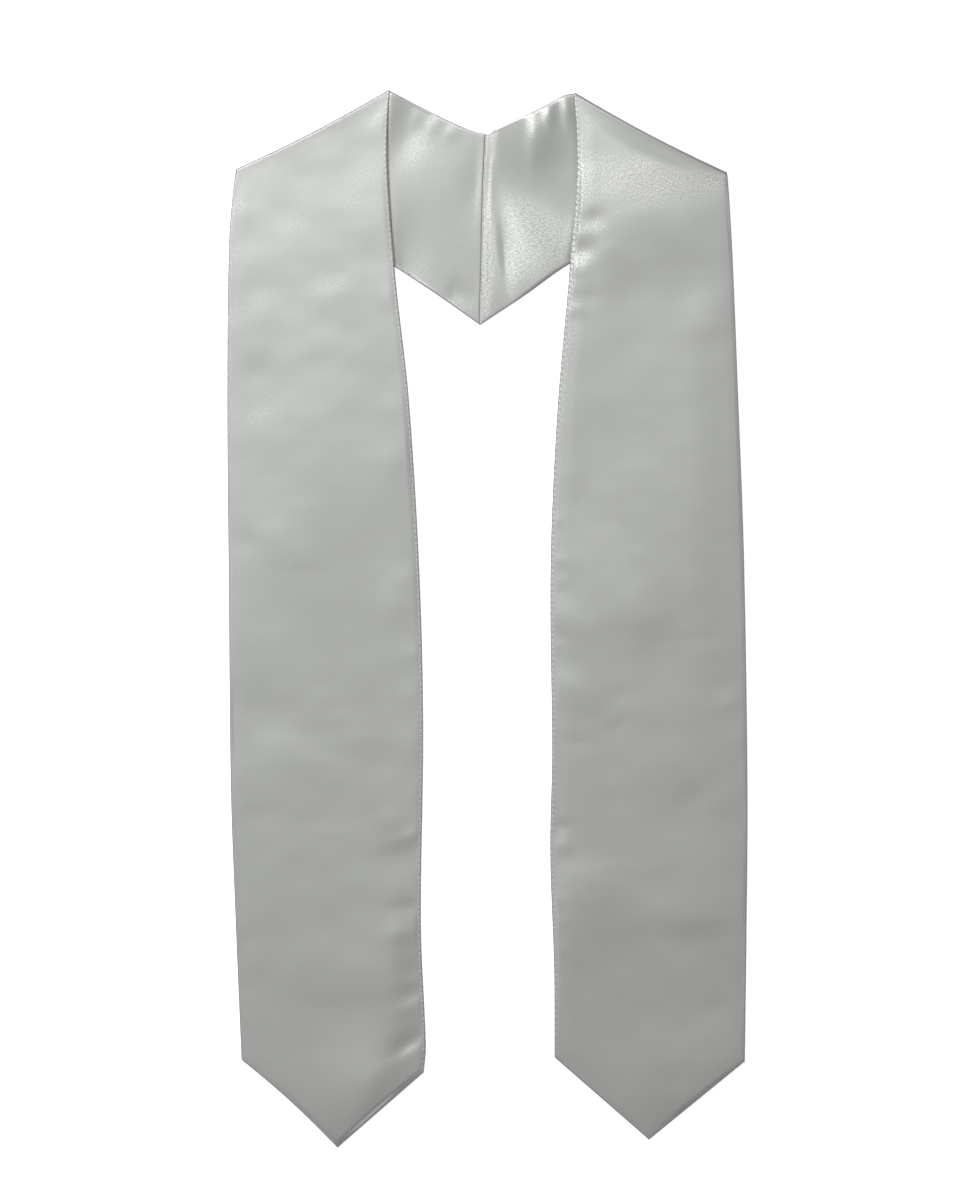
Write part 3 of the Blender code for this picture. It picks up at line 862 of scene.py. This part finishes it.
class Nodes:
    """Short calls for the nodes of one material."""

    def __init__(self, name, settings):
        self.material = bpy.data.materials.new(name)
        self.material.use_nodes = True
        self.tree = self.material.node_tree
        self.shader = self.tree.nodes["Principled BSDF"]
        for socket, value in settings.items():
            self.shader.inputs[socket].default_value = value

    def add(self, kind, **settings):
        node = self.tree.nodes.new(kind)
        for key, value in settings.items():
            setattr(node, key, value)
        return node

    def join(self, start, end):
        self.tree.links.new(start, end)

    def feed(self, socket, value):
        """Links a node's output to the socket, or sets the socket to a plain value."""
        if isinstance(value, (float, tuple)):
            socket.default_value = value
        else:
            self.join(value, socket)

    def cloth_map(self):
        return self.add("ShaderNodeUVMap", uv_map="cloth").outputs["UV"]

    def attribute(self, name):
        return self.add("ShaderNodeAttribute", attribute_name=name).outputs["Fac"]

    def scaled(self, vector, factors):
        mapping = self.add("ShaderNodeMapping")
        mapping.inputs["Scale"].default_value = factors
        self.join(vector, mapping.inputs["Vector"])
        return mapping.outputs["Vector"]

    def noise(self, vector, scale, detail):
        texture = self.add("ShaderNodeTexNoise")
        texture.inputs["Scale"].default_value = scale
        texture.inputs["Detail"].default_value = detail
        self.join(vector, texture.inputs["Vector"])
        return texture.outputs["Fac"]

    def spread(self, value, low, high, to_low, to_high):
        """The value's range from low to high, laid smoothly over the range from to_low to to_high."""
        node = self.add("ShaderNodeMapRange", interpolation_type="SMOOTHSTEP")
        node.inputs["From Min"].default_value = low
        node.inputs["From Max"].default_value = high
        node.inputs["To Min"].default_value = to_low
        node.inputs["To Max"].default_value = to_high
        self.join(value, node.inputs["Value"])
        return node.outputs["Result"]

    def compute(self, operation, *values):
        node = self.add("ShaderNodeMath", operation=operation)
        for socket, value in zip(node.inputs, values):
            self.feed(socket, value)
        return node.outputs["Value"]

    def mix(self, factor, a, b):
        node = self.add("ShaderNodeMix", data_type="RGBA")
        self.feed(node.inputs["Factor"], factor)
        self.feed(node.inputs["A"], a)
        self.feed(node.inputs["B"], b)
        return node.outputs["Result"]

    def two_tone(self, noise, colour, dark, light):
        """The colour times dark to the colour times light, with the noise."""
        share = self.spread(noise, *NOISE_SPAN, 0.0, 1.0)
        return self.mix(share, shade(colour, dark), shade(colour, light))

    def bump(self, height, depth, below=None):
        node = self.add("ShaderNodeBump")
        node.inputs["Strength"].default_value = 1.0
        node.inputs["Distance"].default_value = depth * MM
        self.join(height, node.inputs["Height"])
        if below is not None:
            self.join(below, node.inputs["Normal"])
        return node.outputs["Normal"]


def shade(colour, factor):
    return tuple(channel * factor for channel in colour) + (1.0,)


def stitch_dimples(nodes, cloth):
    """Small dimples at the pitch of the stitches, along the front's inner edge."""
    split = nodes.add("ShaderNodeSeparateXYZ")
    nodes.join(cloth, split.inputs["Vector"])
    across, along = split.outputs["X"], split.outputs["Y"]
    wave = nodes.compute("SINE", nodes.compute("MULTIPLY", along, 2 * math.pi / (STITCH_PITCH * MM)))
    near = nodes.spread(across, 1.8 * MM, 3.0 * MM, 1.0, 0.0)
    front = nodes.spread(along, 8.0 * MM, 14.0 * MM, 0.0, 1.0)
    return nodes.compute("MULTIPLY", wave, nodes.compute("MULTIPLY", near, front))


def satin(name, colour, painted_glint_dark, painted_glint_light):
    """Woven satin: soft base, a smoother top that glints, a painted glint in the grain of its colour where
    it faces the light, and painted shade lines along its edges, seam and fold.
    """
    settings = {
        "Metallic": 0.2,
        "Sheen Weight": 0.1,
        "Sheen Roughness": 0.4,
        "Coat Weight": 1.0,
        "Coat Roughness": 0.27,
        "Coat IOR": 1.5,
    }
    nodes = Nodes(name, settings)
    shader = nodes.shader
    cloth = nodes.cloth_map()

    # Noise scales are by the millimetre. The threads are fine across the strip and long down it
    plain = nodes.scaled(cloth, PER_MM)
    threads = nodes.noise(nodes.scaled(cloth, (3200.0, 420.0, 1000.0)), 1.0, 1.0)
    grain = nodes.noise(plain, 0.85, 2.0)
    blotch = nodes.noise(plain, 0.16, 1.0)
    slow = nodes.noise(plain, 0.02, 2.0)

    # A painted glint brightens the grain of the colour where the cloth tilts towards the light, and a
    # painted shade line darkens the colour along each edge, the seam and the fold's crest
    glint = nodes.spread(nodes.attribute("tilt"), -0.01, 0.085, 0.03, 1.0)
    even_tone = nodes.two_tone(slow, colour, 0.98, 1.02)
    tone = nodes.mix(glint, even_tone, nodes.two_tone(grain, colour, painted_glint_dark, painted_glint_light))
    off_shade_line = nodes.spread(nodes.attribute("edge"), 0.1 * MM, 1.1 * MM, 0.0, 1.0)
    nodes.join(nodes.mix(off_shade_line, shade(colour, 0.35), tone), shader.inputs["Base Color"])
    nodes.join(nodes.spread(grain, *NOISE_SPAN, 0.4, 0.48), shader.inputs["Roughness"])

    woven = nodes.bump(threads, 0.01)
    nodes.join(nodes.bump(stitch_dimples(nodes, cloth), 0.08, woven), shader.inputs["Normal"])
    nodes.join(nodes.bump(blotch, 0.1, nodes.bump(grain, 0.1)), shader.inputs["Coat Normal"])
    return nodes.material


def sewing_thread(name, colour):
    nodes = Nodes(name, {"Sheen Weight": 0.3, "Roughness": 0.45})
    place = nodes.add("ShaderNodeTexCoord").outputs["Object"]
    twist = nodes.noise(nodes.scaled(place, PER_MM), 4.0, 1.0)
    nodes.join(nodes.two_tone(twist, colour, 0.85, 1.1), nodes.shader.inputs["Base Color"])
    nodes.join(nodes.bump(twist, 0.05), nodes.shader.inputs["Normal"])
    return nodes.material


def build_stole():
    face_satin = satin("satin_face", (0.40, 0.41, 0.395), 0.6, 1.4)
    # The lining is the same satin as the face: its colour is painted darker as shade on the back, and its
    # painted glint is brighter
    lining_satin = satin("satin_lining", (0.351, 0.361, 0.346), 0.84, 1.62)
    thread = sewing_thread("thread", (0.7, 0.71, 0.695))
    columns = column_shares()
    for name, strip in (("left", LEFT), ("right", RIGHT)):
        shape = StripShape(strip)
        for kind, facing, material in (("face", 1, face_satin), ("lining", -1, lining_satin)):
            points, cloth_map, edges = shape.grid(facing, columns)
            outward = (strip.side < 0) == (facing > 0)
            layer = shell(f"satin_{kind}_{name}", points, cloth_map, edges, outward, material)
            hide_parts(f"{kind}_{name}")
            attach(layer, "root")
        row = stitches(f"stitching_{name}", shape.stitch_lines(), strip.thread, thread)
        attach(row, "root")


def build_floor():
    """A white floor just below the stole, which glows a little as a lit backdrop does."""
    reach, height = 4.0, -0.0003
    corners = ((-reach, -reach), (reach, -reach), (reach, reach), (-reach, reach))
    mesh = bpy.data.meshes.new("floor")
    mesh.from_pydata([(x, y, height) for x, y in corners], [], [(0, 1, 2, 3)])
    settings = {
        "Base Color": (0.9, 0.9, 0.9, 1.0),
        "Roughness": 0.9,
        "Emission Color": (1.0, 1.0, 1.0, 1.0),
        "Emission Strength": 0.7,
    }
    mesh.materials.append(Nodes("floor", settings).material)
    link_object("floor", mesh)


def area_light(name, place, target, size, power):
    light = bpy.data.lights.new(name, "AREA")
    light.shape = "DISK"
    light.size = size
    light.energy = power
    lamp = link_object(name, light)
    lamp.location = place
    lamp.rotation_euler = (Vector(target) - Vector(place)).to_track_quat("-Z", "Y").to_euler()


def build_lights():
    world = bpy.data.worlds.new("studio")
    world.use_nodes = True
    background = world.node_tree.nodes["Background"]
    background.inputs["Color"].default_value = (1.0, 1.0, 1.0, 1.0)
    background.inputs["Strength"].default_value = 0.27
    bpy.context.scene.world = world
    area_light("key", place=(-0.85, 1.3, 1.4), target=(0.0, 0.0, 0.0), size=0.9, power=48.2)
    area_light("glint", place=(-0.1, 1.1, 2.6), target=(0.0, 0.2, 0.0), size=0.45, power=8.0)


def build_camera():
    """Straight above, far off with a long lens, framed as the photo is."""
    # The frame is this high at middle_z, about halfway up the cloth
    frame_height, distance, sensor = 0.9, 4.0, 36.0
    middle_x, middle_y, middle_z = -0.0056, 0.0139, 0.004
    camera = bpy.data.cameras.new("camera")
    camera.lens = sensor * distance / frame_height
    camera.sensor_width = sensor
    holder = link_object("camera", camera)
    holder.location = (middle_x, middle_y, distance + middle_z)
    bpy.context.scene.camera = holder
    bpy.context.scene.view_settings.view_transform = "Standard"


build_camera()
build_stole()
build_floor()
build_lights()
